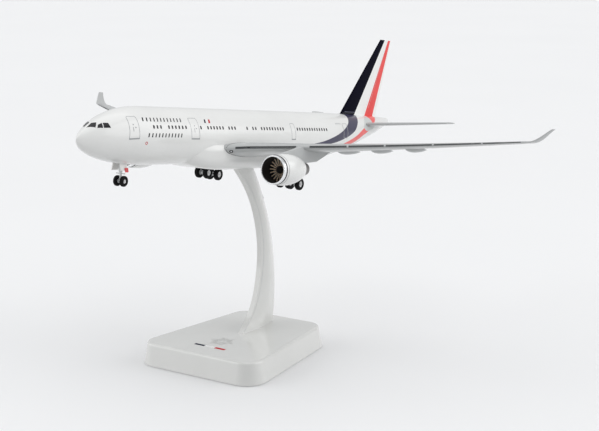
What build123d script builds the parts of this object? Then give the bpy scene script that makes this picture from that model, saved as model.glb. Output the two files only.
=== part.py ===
from build123d import *
import math
import os

# A twin-engined wide-body airliner at 1:200 on its desk stand.
#
# Two frames are used. The row frame has its origin under the middle of the stand's base, the nose towards -X,
# starboard towards +Y and +Z up. The airframe is drawn in its own frame, with x aft from the nose tip, y to
# starboard and z up from the fuselage centre line, and is then pitched nose-up and set on the stand by place().
# All sizes are in millimetres, and angles in degrees.

os.makedirs("parts", exist_ok=True)

PORT = -1
STARBOARD = 1
SIDES = {"port": PORT, "starboard": STARBOARD}

# How the airframe sits on the stand
PITCH = 7.26
PIVOT_ROW = (20.85, 0.0, 105.0)
PIVOT_AIRFRAME = (150.0, 0.0, -14.0)

# Fuselage
FUSE_R = 14.1
FUSE_LEN = 286.0
NOSE_X = 1.2
NOSE_Z = -1.8
NOSE_TOP_LEN = 41.4
NOSE_BOTTOM_LEN = 45.0
NOSE_SIDE_LEN = 42.0
TAIL_TOP_X = 205.0
TAIL_BOTTOM_X = 186.0
TAIL_SIDE_X = 196.0
TAIL_END_TOP = 12.2
TAIL_END_BOTTOM = 8.0
TAIL_END_HALF_WIDTH = 1.9
SHELL_WALL = 1.4

# Belly fairing
BELLY_Z = -16.5
BELLY_HALF_WIDTH = 15.2

# Wing
WING_ROOT_Y = 13.0
WING_ROOT_LE = (95.6, -5.0)
WING_SWEEP = 0.608
WING_DIHEDRAL = 0.083
WING_BEND = 0.00017
WING_KINK_Y = 47.0
WING_TIP_Y = 144.5
WING_ROOT_TE = 152.5
WING_KINK_TE = 154.0
WING_TIP_TE = 185.6
WING_INCIDENCE = 2.0
WING_THICK_ROOT = 0.125
WING_THICK_TIP = 0.095
TAB_Y = 5.5
GLOVE_Y = 24.0
GLOVE_FORWARD = 0.25
GLOVE_DOWN = 0.05
WINGLET_TOP = (186.0, 152.2, 15.9)
WINGLET_TOP_CHORD = 4.0

# Flap-track fairings: distance out from the centre line, and size
TRACK_Y = (38.5, 55.6, 72.3, 89.3)
TRACK_LEN = 25.0
TRACK_R = 1.75
TRACK_OVERHANG = 5.0

# Engines
ENGINE_Y = 46.85
ENGINE_Z = -13.0
LIP_X = 91.7
COWL_X = 93.6
COWL_END_X = 114.2
COWL_R = 7.95
LIP_R = 7.25
INTAKE_R = 6.45
COWL_EXIT_R = 5.5
FAN_X = 98.4
FAN_R = 6.15
FAN_HUB_R = 1.9
FAN_BLADES = 20
FAN_ROOT_CHORD = 0.6
FAN_TIP_CHORD = 1.0
FAN_BLADE_T = 0.24
FAN_PIN_R = 0.6
RUNNING_GAP = 0.05
NOZZLE_END_X = 120.8
PYLON_HALF_T = 1.1

# Tail
FIN_LE = ((229.5, 13.9), (271.7, 60.6))
FIN_TE = ((272.1, 14.5), (284.4, 60.6))
FIN_FOOT_Z = 10.4
FIN_THICK = 0.075
TAILPLANE_ROOT = (246.0, 8.0, 8.4)
TAILPLANE_TIP = (274.8, 48.5, 12.4)
TAILPLANE_ROOT_TE = 270.5
TAILPLANE_TIP_TE = 286.2
TAILPLANE_FOOT_Y = 3.0
TAILPLANE_THICK = 0.085

# Landing gear
NOSE_GEAR = (33.4, 0.0, -21.6)
NOSE_WHEEL_R = 2.6
NOSE_WHEEL_HALF_TRACK = 1.95
NOSE_WHEEL_W = 1.5
MAIN_GEAR = (138.8, 26.9, -22.5)
MAIN_WHEEL_R = 3.3
MAIN_WHEEL_W = 2.4
MAIN_HALF_TRACK = 2.8
MAIN_WHEELBASE = 9.9
BOGIE_TILT = 6.5
NOSE_DOOR_T = 0.45
NOSE_TAG_T = 0.35
AXLE_R = 0.5
HUB_SHARE = 0.5
NOSE_HUB_SHARE = 0.38

# Stand
BASE_FRONT_X = -43.35
BASE_BACK_X = 43.35
BASE_FRONT_HALF = 39.9
BASE_BACK_HALF = 29.6
BASE_DRAFT = 2.2
BASE_CORNER_R = 11.0
BASE_TOP_Z = 12.2
BASE_NOSE_Z = 7.5
BASE_FLAT_X = -0.65
BASE_WALL = 2.0
BASE_EDGE_R = 1.4
PAD_T = 0.8
PAD_INSET = 2.4
PLATE_T = 1.6
BALLAST_T = 3.0
ARM_FRONT_HALF_T = 1.5
ARM_MID_HALF_T = 2.7
ARM_BACK_HALF_T = 0.8
ARM_FRONT = ((-4.0, 9.0), (0.5, 12.8), (9.7, 22.8), (14.8, 33.3), (17.4, 44.1), (18.5, 55.3), (17.3, 66.9),
             (13.9, 78.8), (7.7, 91.0), (0.4, 100.4), (-5.4, 107.0))
ARM_BACK = ((29.2, 9.0), (29.7, 12.4), (31.2, 21.0), (32.0, 32.0), (31.9, 43.0), (30.6, 54.5), (28.3, 66.5),
            (24.2, 78.6), (18.6, 91.5), (13.0, 101.6), (8.0, 110.0))
ARM_GAP = 0.2
TONGUE_LEAN = 33.0
TONGUE_IN_ARM = 22.0
TONGUE_LEN = 16.0
TONGUE_W = 8.0
TONGUE_T = 2.0
TONGUE_FOOT = (6.6, 101.0)
FOOT_X = (0.5, 30.0)
FOOT_HALF_T = 4.5
FOOT_TOP_Z = 9.8
SOCKET_GAP = 0.06
SCREWS = ((8.0, -2.3), (8.0, 2.3), (22.0, -2.3), (22.0, 2.3))
SCREW_R = 0.9
SCREW_HEAD_R = 1.9
SCREW_TOP_Z = 8.0


# ---------------------------------------------------------------- helpers

def place(shape):
    """An airframe shape moved from the airframe's frame onto the stand."""
    home = Pos(*PIVOT_ROW) * Rot(0, PITCH, 0)
    return home * Pos(*[-c for c in PIVOT_AIRFRAME]) * shape


def save(name, shape):
    """One STEP file for a node. A list of pieces becomes a group of separate solids."""
    pieces = []
    for item in shape if isinstance(shape, list) else [shape]:
        pieces += item.solids()
    group = pieces[0] if len(pieces) == 1 else Compound(children=pieces)
    export_step(group, f"parts/{name}.step")


def bullet(t, power):
    """0 at t = 0 with an upright start, and a level 1 from t = 1."""
    t = min(max(t, 0.0), 1.0)
    return (1.0 - (1.0 - t) ** 2) ** power


def ease(x, start, end, power):
    """0 up to start, 1 at end."""
    t = min(max((x - start) / (end - start), 0.0), 1.0)
    return t**power


def largest(shape):
    """The main solid of a cut shape, without the slivers."""
    return max(shape.solids(), key=lambda solid: solid.volume)


def revolved(outline):
    """A full turn of an outline of (x, radius) points about the X axis."""
    points = [(x, 0, r) for x, r in outline]
    return revolve(make_face(Polyline(*points, close=True)), axis=Axis.X)


def rod(start, end, radius):
    """A round bar between two points."""
    a = Vector(*start)
    b = Vector(*end)
    plane = Plane(origin=a, z_dir=b - a)
    return extrude(plane * Circle(radius), (b - a).length)


def box(x, y, z):
    """A block from its three (low, high) spans."""
    size = [abs(span[1] - span[0]) for span in (x, y, z)]
    middle = [(span[0] + span[1]) / 2 for span in (x, y, z)]
    return Pos(*middle) * Box(*size)


def airfoil(chord, thick, blunt=0.18):
    """A closed symmetric airfoil face in XZ, its leading edge at the origin and its chord along +X."""
    def half(s):
        a, b, c, d, e = 0.2969, 0.1260, 0.3516, 0.2843, 0.1015
        return 5 * thick * (a * math.sqrt(s) - b * s - c * s**2 + d * s**3 - e * s**4)

    shares = (0.0, 0.02, 0.08, 0.2, 0.4, 0.7, 1.0)
    upper = [Vector(s * chord, 0, half(s) * chord + blunt * s) for s in shares]
    lower = [Vector(p.X, 0, -p.Z) for p in upper]
    edges = [Spline(*upper), Line(upper[-1], lower[-1]), Spline(*reversed(lower))]
    return make_face(edges)


# ---------------------------------------------------------------- fuselage

def fuselage_top(x):
    nose = NOSE_Z + (FUSE_R - NOSE_Z) * bullet((x - NOSE_X) / NOSE_TOP_LEN, 0.775)
    return nose - (FUSE_R - TAIL_END_TOP) * ease(x, TAIL_TOP_X, FUSE_LEN, 2.0)


def fuselage_bottom(x):
    nose = NOSE_Z - (FUSE_R + NOSE_Z) * bullet((x - NOSE_X) / NOSE_BOTTOM_LEN, 0.51)
    return nose + (FUSE_R + TAIL_END_BOTTOM) * ease(x, TAIL_BOTTOM_X, FUSE_LEN, 1.45)


def fuselage_half_width(x):
    nose = FUSE_R * bullet((x - NOSE_X) / NOSE_SIDE_LEN, 0.8)
    return nose - (FUSE_R - TAIL_END_HALF_WIDTH) * ease(x, TAIL_SIDE_X, FUSE_LEN, 1.6)


def ring(x, inset):
    """A cross-section of the fuselage, drawn in by inset."""
    top = fuselage_top(x) - inset
    bottom = fuselage_bottom(x) + inset
    half = fuselage_half_width(x) - inset
    points = []
    for k in range(12):
        angle = 2 * math.pi * k / 12
        z = (top + bottom) / 2 + (top - bottom) / 2 * math.sin(angle)
        points.append(Vector(x, half * math.cos(angle), z))
    return make_face(Spline(*points, periodic=True))


def hull(inset=0.0):
    """The fuselage as one closed body."""
    if inset:
        nose = (3.6, 6.0, 9.0, 14.0, 21.0, 30.0, 40.0, 48.0)
        tail = (212, 228, 244, 258, 270, 276)
    else:
        nose = (0.03, 0.25, 0.8, 2.0, 4.5, 8.0, 13.0, 20.0, 28.0, 38.0, 46.0)
        tail = (212, 228, 244, 258, 272, 286)
    barrel = range(64, 200, 20)
    stations = [NOSE_X + x for x in nose] + list(barrel) + list(tail)
    return loft([ring(x, inset) for x in stations])


def belly_block():
    """The full outside of the belly fairing, before the fuselage is taken out of it."""
    stations = (
        (73.0, 8.5, -12.4, 5.0),
        (83.0, 13.6, -15.3, 5.6),
        (96.0, BELLY_HALF_WIDTH, BELLY_Z, 6.5),
        (150.0, BELLY_HALF_WIDTH, BELLY_Z, 6.5),
        (172.0, 13.4, -15.6, 6.0),
        (192.0, 8.0, -12.2, 5.0),
    )
    sections = []
    for x, half, bottom, radius in stations:
        top = -1.0
        plane = Plane(origin=(x, 0, (top + bottom) / 2), x_dir=(0, 1, 0), z_dir=(1, 0, 0))
        sections.append(plane * RectangleRounded(2 * half, top - bottom, radius))
    return loft(sections)


def centre_block(inner):
    """The block inside the fuselage that takes the stand's tongue, between the two wing tabs."""
    return box((112, 146), (-TAB_Y, TAB_Y), (-16, 0)) & inner


# ---------------------------------------------------------------- wing

def wing_le(y):
    """Leading edge (x, z) of the wing at a distance y from the centre line."""
    out = y - WING_ROOT_Y
    glove = max(GLOVE_Y - y, 0.0)
    x = WING_ROOT_LE[0] + WING_SWEEP * out - GLOVE_FORWARD * glove
    z = WING_ROOT_LE[1] + WING_DIHEDRAL * out + WING_BEND * out * abs(out) - GLOVE_DOWN * glove
    return x, z


def wing_te(y):
    """Trailing edge x of the wing."""
    if y <= WING_KINK_Y:
        share = (y - WING_ROOT_Y) / (WING_KINK_Y - WING_ROOT_Y)
        return WING_ROOT_TE + (WING_KINK_TE - WING_ROOT_TE) * share
    share = (y - WING_KINK_Y) / (WING_TIP_Y - WING_KINK_Y)
    return WING_KINK_TE + (WING_TIP_TE - WING_KINK_TE) * share


def wing_section(y, side):
    x, z = wing_le(y)
    share = (y - WING_ROOT_Y) / (WING_TIP_Y - WING_ROOT_Y)
    thick = WING_THICK_ROOT + (WING_THICK_TIP - WING_THICK_ROOT) * share
    section = airfoil(wing_te(y) - x, thick)
    return Pos(x, side * y, z) * Rot(0, WING_INCIDENCE, 0) * section


def wing(side):
    inner = loft([wing_section(y, side) for y in (TAB_Y, GLOVE_Y, WING_KINK_Y)], ruled=True)
    outer = loft([wing_section(y, side) for y in (WING_KINK_Y, 80, 115, WING_TIP_Y)])
    return inner + outer


def winglet(side):
    """Swept fin at the wing tip, turning up from the tip section."""
    x0, z0 = wing_le(WING_TIP_Y)
    chord0 = wing_te(WING_TIP_Y) - x0
    x1, y1, z1 = WINGLET_TOP
    steps = ((0.0, 0.0, 0.0, 0), (0.2, 0.24, 0.12, 32), (0.5, 0.55, 0.43, 46), (1.0, 1.0, 1.0, 52))
    sections = []
    for along, out, up, cant in steps:
        chord = WINGLET_TOP_CHORD + (chord0 - WINGLET_TOP_CHORD) * (1 - along) ** 1.3
        spot = Pos(x0 + (x1 - x0) * along, side * (WING_TIP_Y + (y1 - WING_TIP_Y) * out), z0 + (z1 - z0) * up)
        sections.append(spot * Rot(side * cant, 0, 0) * Rot(0, WING_INCIDENCE, 0) * airfoil(chord, WING_THICK_TIP, 0.12))
    return loft(sections)


def track_fairings(side, wing_body):
    """Canoe-shaped fairings hung under the trailing edge."""
    pieces = []
    for y in TRACK_Y:
        x_end = wing_te(y) + TRACK_OVERHANG
        x_le, z_le = wing_le(y)
        drop = math.tan(math.radians(WING_INCIDENCE))
        z_end = z_le - (wing_te(y) - x_le) * drop - 0.2
        rise = (wing_te(y) - x_le) * 0.012
        points = [(0, 0), (0.12, 0.62), (0.35, 1.0), (0.6, 0.86), (0.85, 0.42), (1.0, 0)]
        spine = Spline(*[(s * TRACK_LEN, 0, r * TRACK_R) for s, r in points])
        lens = revolve(make_face([spine, Line((TRACK_LEN, 0, 0), (0, 0, 0))]), axis=Axis.X)
        hung = Pos(x_end - TRACK_LEN, side * y, z_end - rise) * Rot(0, WING_INCIDENCE, 0) * lens
        pieces.append(largest(hung - wing_body))
    return pieces


# ---------------------------------------------------------------- engines

def on_engine(shape, side):
    """A shape drawn round the X axis, moved to an engine's centre line."""
    return Pos(0, side * ENGINE_Y, ENGINE_Z) * shape


def cowl_outline():
    return [
        (COWL_X, LIP_R),
        (96.2, 7.6),
        (100.2, COWL_R),
        (104.5, 7.8),
        (108.5, 7.2),
        (111.5, 6.45),
        (COWL_END_X, COWL_EXIT_R),
    ]


def cowl_envelope():
    """The outside of lip, cowl and nozzle, filled in."""
    line = [(LIP_X, 0), (LIP_X, LIP_R), *cowl_outline(), (COWL_END_X, 4.1), (NOZZLE_END_X, 3.2), (NOZZLE_END_X, 0)]
    return revolved(line)


def cowl():
    outer = Spline(*[(x, 0, r) for x, r in cowl_outline()])
    end = Line((COWL_END_X, 0, COWL_EXIT_R), (COWL_END_X, 0, COWL_EXIT_R - 0.4))
    inner_points = [(COWL_END_X, COWL_EXIT_R - 0.4), (109.0, 6.15), (103.0, INTAKE_R), (COWL_X, INTAKE_R)]
    inner = Spline(*[(x, 0, r) for x, r in inner_points])
    front = Line((COWL_X, 0, INTAKE_R), (COWL_X, 0, LIP_R))
    return revolve(make_face([outer, end, inner, front]), axis=Axis.X)


def intake_lip():
    """Bare-metal ring: a half-round nose on a short sleeve."""
    tip = (LIP_X, 0, (LIP_R + INTAKE_R) / 2)
    nose = ThreePointArc((LIP_X + 0.45, 0, LIP_R - 0.05), tip, (LIP_X + 0.45, 0, INTAKE_R + 0.02))
    out = Line((LIP_X + 0.45, 0, LIP_R - 0.05), (COWL_X, 0, LIP_R))
    back = Line((COWL_X, 0, LIP_R), (COWL_X, 0, INTAKE_R))
    inside = Line((COWL_X, 0, INTAKE_R), (LIP_X + 0.45, 0, INTAKE_R + 0.02))
    return revolve(make_face([nose, out, back, inside]), axis=Axis.X)


def fan(turn):
    """Hub with a pointed spinner and a ring of twisted blades, bored for the pin."""
    hub = revolved([(FAN_X - 3.2, 0), (FAN_X - 1.0, FAN_HUB_R - 0.3), (FAN_X, FAN_HUB_R), (FAN_X + 1.4, FAN_HUB_R),
                    (FAN_X + 1.4, 0)])
    root = Pos(FAN_X + 0.4, 0, FAN_HUB_R - 0.5) * Rot(0, 0, turn * 35) * Rectangle(FAN_ROOT_CHORD, FAN_BLADE_T)
    tip = Pos(FAN_X + 0.4, 0, FAN_R) * Rot(0, 0, turn * 60) * Rectangle(FAN_TIP_CHORD, FAN_BLADE_T)
    blade = loft([root, tip])
    pieces = [Rot(360 / FAN_BLADES * k, 0, 0) * blade for k in range(FAN_BLADES)]
    disc = Pos(FAN_X, 0, 0) * Rot(0, 90, 0) * Cylinder(FAN_R, 8)
    whole = hub + pieces
    bore = rod((FAN_X - 1.0, 0, 0), (FAN_X + 2, 0, 0), FAN_PIN_R + RUNNING_GAP)
    return (whole & disc) - bore


def engine_core():
    """Core body with its vane ring, which holds the cowl, and the pin that the fan turns on."""
    body = revolved([(FAN_X + 1.7, 0), (FAN_X + 1.7, 2.3), (104, 3.6), (110, 4.2), (113.0, 4.1), (113.0, 0)])
    pin = rod((FAN_X - 0.9, 0, 0), (FAN_X + 2.5, 0, 0), FAN_PIN_R)
    vane = Pos(102.6, 0, (3.0 + INTAKE_R) / 2) * Box(3.0, 0.5, INTAKE_R - 3.0)
    vanes = [Rot(60 * k + 30, 0, 0) * vane for k in range(6)]
    limit = Pos(105, 0, 0) * Rot(0, 90, 0) * Cylinder(INTAKE_R - 0.02, 20)
    return (body + pin + vanes) & limit


def exhaust_nozzle():
    return revolved([(113.0, 4.3), (116.0, 4.1), (NOZZLE_END_X, 3.2), (NOZZLE_END_X, 2.85), (115.0, 3.6), (113.0, 3.7)])


def exhaust_plug():
    return revolved([(113.0, 0), (113.0, 2.0), (117.0, 1.9), (120.0, 1.2), (NOZZLE_END_X + 0.6, 0)])


def pylon(side, wing_body):
    """Thin upright fairing between the nacelle and the wing's underside."""
    points = [(97.5, -6.4), (100.5, -4.7), (108.0, -3.3), (116.0, -1.6), (123.0, -1.0), (140.0, -1.6),
              (144.5, -3.9), (138.0, -6.6), (130.5, -9.3), (120.0, -9.9), (110.0, -9.9), (97.5, -9.9)]
    y = side * ENGINE_Y - PYLON_HALF_T
    face = make_face(Polyline(*[(x, y, z) for x, z in points], close=True))
    plate = extrude(face, 2 * PYLON_HALF_T, dir=(0, 1, 0))
    for neighbour in (cowl_envelope(), cowl(), exhaust_nozzle()):
        plate -= on_engine(neighbour, side)
    return largest(plate - wing_body)


# ---------------------------------------------------------------- tail

def fin():
    def at(line, z):
        (x0, z0), (x1, z1) = line
        return x0 + (x1 - x0) * (z - z0) / (z1 - z0)

    sections = []
    for z in (FIN_FOOT_Z, FIN_LE[1][1]):
        x = at(FIN_LE, z)
        section = airfoil(at(FIN_TE, z) - x, FIN_THICK)
        sections.append(Pos(x, 0, z) * Rot(90, 0, 0) * section)
    return loft(sections, ruled=True)


def tailplane(side):
    x0, y0, z0 = TAILPLANE_ROOT
    x1, y1, z1 = TAILPLANE_TIP
    sections = []
    for y in (TAILPLANE_FOOT_Y, y1):
        share = (y - y0) / (y1 - y0)
        x = x0 + (x1 - x0) * share
        te = TAILPLANE_ROOT_TE + (TAILPLANE_TIP_TE - TAILPLANE_ROOT_TE) * share
        sections.append(Pos(x, side * y, z0 + (z1 - z0) * share) * airfoil(te - x, TAILPLANE_THICK))
    return loft(sections, ruled=True)


# ---------------------------------------------------------------- landing gear

def wheel_pair(centre, radius, width, half_track, hub_share=HUB_SHARE):
    """Hubs and tyres of two wheels on one axle, and the axle itself, which turns with them."""
    x, y, z = centre
    hub_r = radius * hub_share
    hubs = []
    tyres = []
    for way in (-1, 1):
        at = Pos(x, y + way * half_track, z) * Rot(90, 0, 0)
        hub = Cylinder(hub_r, width * 0.72) - Cylinder(AXLE_R, width)
        dish = Cylinder(hub_r * 0.72, width) - Cylinder(hub_r * 0.4, width)
        step = Pos(0, 0, -way * (width * 0.72)) * dish
        hubs.append(at * (hub - step))
        tread = Cylinder(radius, width)
        tread = fillet(tread.edges().filter_by(GeomType.CIRCLE), width * 0.3)
        tyres.append(at * (tread - Cylinder(hub_r, width + 1)))
    reach = half_track + width * 0.5
    axle = rod((x, y - reach, z), (x, y + reach, z), AXLE_R)
    return axle, hubs, tyres


def nose_leg():
    """Telescopic strut with its drag brace, a cross bar and the bush that the nose axle turns in."""
    x, y, z = NOSE_GEAR
    bush = rod((x, -0.9, z), (x, 0.9, z), 1.0)
    lower = rod((x, 0, z), (x - 0.3, 0, z + 4.5), 0.6)
    upper = rod((x - 0.3, 0, z + 4.2), (x - 0.8, 0, -11.6), 0.95)
    brace = rod((x - 0.5, 0, z + 4.8), (x + 4.2, 0, -11.9), 0.45)
    bar = rod((x - 0.2, -2.7, z + 3.6), (x - 0.2, 2.7, z + 3.6), 0.28)
    bore = rod((x, -2, z), (x, 2, z), AXLE_R + RUNNING_GAP)
    return (bush + lower + upper + brace + bar) - bore


def nose_door_place(way):
    """Middle of a nose door, hung open and leaning outwards at its foot."""
    return Pos(32.1, way * 2.5, -14.6) * Rot(way * 12, 0, 0)


def nose_doors(hull_body):
    """The two doors, hung open either side of the leg."""
    doors = []
    for way in (-1, 1):
        doors.append(nose_door_place(way) * Box(4.6, NOSE_DOOR_T, 3.8) - hull_body)
    return doors


def nose_tag():
    """Small plate on the outside of the port door, low down at its rear."""
    return nose_door_place(-1) * Pos(1.4, -(NOSE_DOOR_T + NOSE_TAG_T) / 2, -1.7) * Box(2.2, NOSE_TAG_T, 2.1)


def gear_axles():
    """Front and rear axle centres of a main bogie, in the port-to-starboard symmetric plane."""
    x, y, z = MAIN_GEAR
    half = MAIN_WHEELBASE / 2
    c = math.cos(math.radians(BOGIE_TILT))
    s = math.sin(math.radians(BOGIE_TILT))
    return {"front": (x - half * c, y, z + half * s), "rear": (x + half * c, y, z - half * s)}


def main_leg(side, wing_body):
    """Main strut with its fork over the bogie beam and the side stay that runs inboard."""
    x, y, z = MAIN_GEAR
    y = side * y
    foot = z + 1.5
    lower = rod((x, y, foot), (x, y, foot + 8.5), 0.9)
    upper = rod((x, y, foot + 8), (x - 0.6, y, -4.2), 1.5)
    stay = rod((x, y, foot + 9.0), (x - 0.2, y - side * 7.5, -5.2), 0.7)
    drag = rod((x, y, foot + 8.6), (x - 8.0, y, -4.4), 0.6)
    return (lower + upper + stay + drag) - wing_body


def main_door(side, wing_body):
    """Leg door on the outboard side of the strut."""
    x, y, z = MAIN_GEAR
    plate = Pos(x - 0.2, side * (y + 2.1), -10.2) * Rot(side * 3, 0, 0) * Box(6.4, 0.5, 11.0)
    link = rod((x, side * (y + 0.9), -10.5), (x, side * (y + 2.1), -10.5), 0.5)
    return (plate + link) - wing_body - main_leg(side, wing_body)


def bogie_beam(side):
    """Beam between the two axles, bored for both, with the lug that the strut stands on."""
    axles = gear_axles()
    fx, _, fz = axles["front"]
    rx, _, rz = axles["rear"]
    x, y, z = MAIN_GEAR
    y = side * y
    beam = rod((fx, y, fz), (rx, y, rz), 0.85)
    ends = [rod((cx, y - 1.5, cz), (cx, y + 1.5, cz), 1.15) for cx, cz in ((fx, fz), (rx, rz))]
    lug = rod((x, y, z), (x, y, z + 1.5), 1.15)
    bores = [rod((cx, y - 3, cz), (cx, y + 3, cz), AXLE_R + RUNNING_GAP) for cx, cz in ((fx, fz), (rx, rz))]
    return beam + ends + lug - bores


# ---------------------------------------------------------------- stand

def base_outline(z, shrink=0.0):
    """Rounded trapezoid across the base at height z, with the draft of its sides."""
    drawn_in = BASE_DRAFT * z / BASE_TOP_Z + shrink
    front = BASE_FRONT_X + drawn_in
    back = BASE_BACK_X - drawn_in
    corners = [(front, -BASE_FRONT_HALF + drawn_in), (front, BASE_FRONT_HALF - drawn_in),
               (back, BASE_BACK_HALF - drawn_in), (back, -BASE_BACK_HALF + drawn_in)]
    sharp = make_face(Polyline(*corners, close=True))
    return Pos(0, 0, z) * fillet(sharp.vertices(), BASE_CORNER_R - drawn_in)


def slope_cut(drop=0.0):
    """The space over the front of the base, whose top falls away in a curve."""
    far = BASE_FRONT_X - 20
    fall = (BASE_TOP_Z - BASE_NOSE_Z) / (BASE_FLAT_X - (BASE_FRONT_X + BASE_DRAFT)) ** 2
    places = [BASE_FLAT_X + (far - BASE_FLAT_X) * k / 4 for k in range(5)]
    curve = Spline(*[(x, -60, BASE_TOP_Z - drop - fall * (x - BASE_FLAT_X) ** 2) for x in places])
    over = Polyline(curve @ 1, (far, -60, 40), (BASE_FLAT_X, -60, 40), curve @ 0)
    return extrude(make_face([curve, over]), 120, dir=(0, 1, 0))


def arm_section(front, back):
    """A cross-section between a front and a back point: flat-nosed, thickest before the middle, thin behind."""
    width = math.dist(front, back)
    run = (back[0] - front[0]) / width
    rise = (back[1] - front[1]) / width
    plane = Plane(origin=(front[0], 0, front[1]), x_dir=(run, 0, rise), z_dir=(rise, 0, -run))
    thick = ((0.0, ARM_FRONT_HALF_T), (0.2, 2.2), (0.45, ARM_MID_HALF_T), (0.75, 2.0), (1.0, ARM_BACK_HALF_T))
    left = [Vector(s * width, t) for s, t in thick]
    right = [Vector(p.X, -p.Y) for p in left]
    edges = [Spline(*left), Line(left[-1], right[-1]), Spline(*reversed(right)), Line(right[0], left[0])]
    return plane * make_face(edges)


def arm_blade():
    """The arm as one body, from inside the base up past the belly."""
    return loft([arm_section(front, back) for front, back in zip(ARM_FRONT, ARM_BACK)])


def belly_under():
    """Everything above the arm's top face, which lies just under the belly fairing."""
    return place(box((60, 210), (-60, 60), (BELLY_Z - ARM_GAP, BELLY_Z + 60)))


def tongue_blade(start, grow=0.0):
    """The straight steel key in the arm's top, which leans towards the nose. start is how far down it begins."""
    x, z = TONGUE_FOOT
    length = TONGUE_LEN - start + 2 * grow
    low = (Align.CENTER, Align.CENTER, Align.MIN)
    body = Pos(0, 0, start) * Box(TONGUE_W + 2 * grow, TONGUE_T + 2 * grow, length, align=low)
    return Pos(x, 0, z) * Rot(0, -TONGUE_LEAN, 0) * body


def arm_halves():
    """The arm's two mouldings, joined down the middle, with the flange that holds them in the base."""
    blade = arm_blade() - belly_under() - box((-60, 60), (-20, 20), (-20, FOOT_TOP_Z - 1.0))
    flange = box(FOOT_X, (-FOOT_HALF_T, FOOT_HALF_T), (PAD_T + PLATE_T, FOOT_TOP_Z))
    whole = blade + flange - tongue_blade(-TONGUE_IN_ARM) - screw_cuts(SCREW_R, 0, SCREW_TOP_Z)
    halves = {}
    for name, side in SIDES.items():
        halves[name] = largest(whole & box((-60, 60), (0, side * 20), (-5, 130)))
    return halves


def screws():
    pieces = []
    for x, y in SCREWS:
        head = rod((x, y, PAD_T), (x, y, PAD_T + 1.0), SCREW_HEAD_R)
        slot = Pos(x, y, PAD_T) * Box(2.6, 0.5, 0.8)
        shank = rod((x, y, PAD_T + 0.9), (x, y, SCREW_TOP_Z), SCREW_R)
        pieces.append(head + shank - slot)
    return pieces


def screw_cuts(radius, low, high):
    return [rod((x, y, low), (x, y, high), radius) for x, y in SCREWS]


def build_stand():
    pad = extrude(base_outline(0, PAD_INSET), PAD_T)
    block = loft([base_outline(0.45), base_outline(BASE_TOP_Z)]) - slope_cut()
    top_edges = [e for e in block.edges() if e.bounding_box().min.Z > BASE_NOSE_Z - 0.5 and not on_crease(e)]
    block = fillet(top_edges, BASE_EDGE_R)
    hollow_shape = loft([base_outline(-0.5, BASE_WALL + 0.6), base_outline(BASE_TOP_Z - BASE_WALL, BASE_WALL)])
    shell = block - (hollow_shape - slope_cut(BASE_WALL))
    shell -= extrude(base_outline(0, PAD_INSET), PAD_T)
    plate = extrude(Pos(0, 0, PAD_T) * base_outline(0, BASE_WALL), PLATE_T) - shell
    plate -= screw_cuts(SCREW_R, 0, 9)
    plate -= screw_cuts(SCREW_HEAD_R, 0, PAD_T + 1.0)

    halves = arm_halves()
    for half in halves.values():
        shell -= half

    ballast = box((-30, 36), (-20, 20), (PAD_T + PLATE_T, PAD_T + PLATE_T + BALLAST_T))
    ballast -= box((FOOT_X[0] - 0.5, FOOT_X[1] + 0.5), (-FOOT_HALF_T - 0.5, FOOT_HALF_T + 0.5), (0, 10))

    save("stand_base_shell", shell)
    save("stand_base_plate", plate)
    save("stand_base_pad", pad)
    save("stand_ballast", ballast)
    for name, half in halves.items():
        save(f"stand_arm_{name}_half", half)
    save("stand_tongue", tongue_blade(-TONGUE_IN_ARM))
    save("stand_arm_screws", screws())


def on_crease(edge):
    """Whether an edge lies across the base where the slope meets the flat top."""
    middle = edge.center()
    return abs(middle.X - BASE_FLAT_X) < 0.1 and abs(middle.Y) < 1.0


# ---------------------------------------------------------------- assembly

def build_airframe(wings, legs):
    outer = hull()
    inner = hull(SHELL_WALL)
    socket = Pos(*PIVOT_AIRFRAME) * Rot(0, -PITCH, 0) * Pos(*[-c for c in PIVOT_ROW]) * tongue_blade(-8.0, SOCKET_GAP)
    fin_body = fin()
    tails = {name: tailplane(side) for name, side in SIDES.items()}

    shell = outer - inner
    for cutter in (*wings.values(), fin_body, *tails.values(), nose_leg(), socket):
        shell -= cutter
    fairing = belly_block() - outer
    for cutter in (*wings.values(), *legs.values(), socket):
        fairing -= cutter

    for name, side in SIDES.items():
        half = shell & box((-10, 320), (0, side * 30), (-40, 40))
        save(f"fuselage_{name}_half", place(largest(half)))
        save(f"wing_{name}", place(wings[name]))
        save(f"winglet_{name}", place(winglet(side)))
        save(f"flap_fairings_{name}", [place(p) for p in track_fairings(side, wings[name])])
        save(f"tailplane_{name}", place(tails[name]))
    save("belly_fairing", place(largest(fairing)))
    save("centre_block", place(centre_block(inner) - socket))
    save("fin", place(fin_body))
    save("nose_gear_leg", place(nose_leg()))
    save("nose_gear_doors", [place(door) for door in nose_doors(outer)])
    save("nose_gear_tag", place(nose_tag()))


def build_engine(name, side, wing_body):
    save(f"engine_pylon_{name}", place(pylon(side, wing_body)))
    save(f"engine_cowl_{name}", place(on_engine(cowl(), side)))
    save(f"intake_lip_{name}", place(on_engine(intake_lip(), side)))
    save(f"fan_{name}", place(on_engine(fan(side), side)))
    save(f"engine_core_{name}", place(on_engine(engine_core(), side)))
    save(f"exhaust_nozzle_{name}", place(on_engine(exhaust_nozzle(), side)))
    save(f"exhaust_plug_{name}", place(on_engine(exhaust_plug(), side)))


def build_main_gear(name, side, wing_body, leg):
    save(f"main_leg_{name}", place(leg))
    save(f"main_door_{name}", place(main_door(side, wing_body)))
    save(f"bogie_beam_{name}", place(bogie_beam(side)))
    for row, (x, y, z) in gear_axles().items():
        wheels = wheel_pair((x, side * y, z), MAIN_WHEEL_R, MAIN_WHEEL_W, MAIN_HALF_TRACK)
        save_wheels(f"main_{row}", f"_{name}", wheels)


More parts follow.
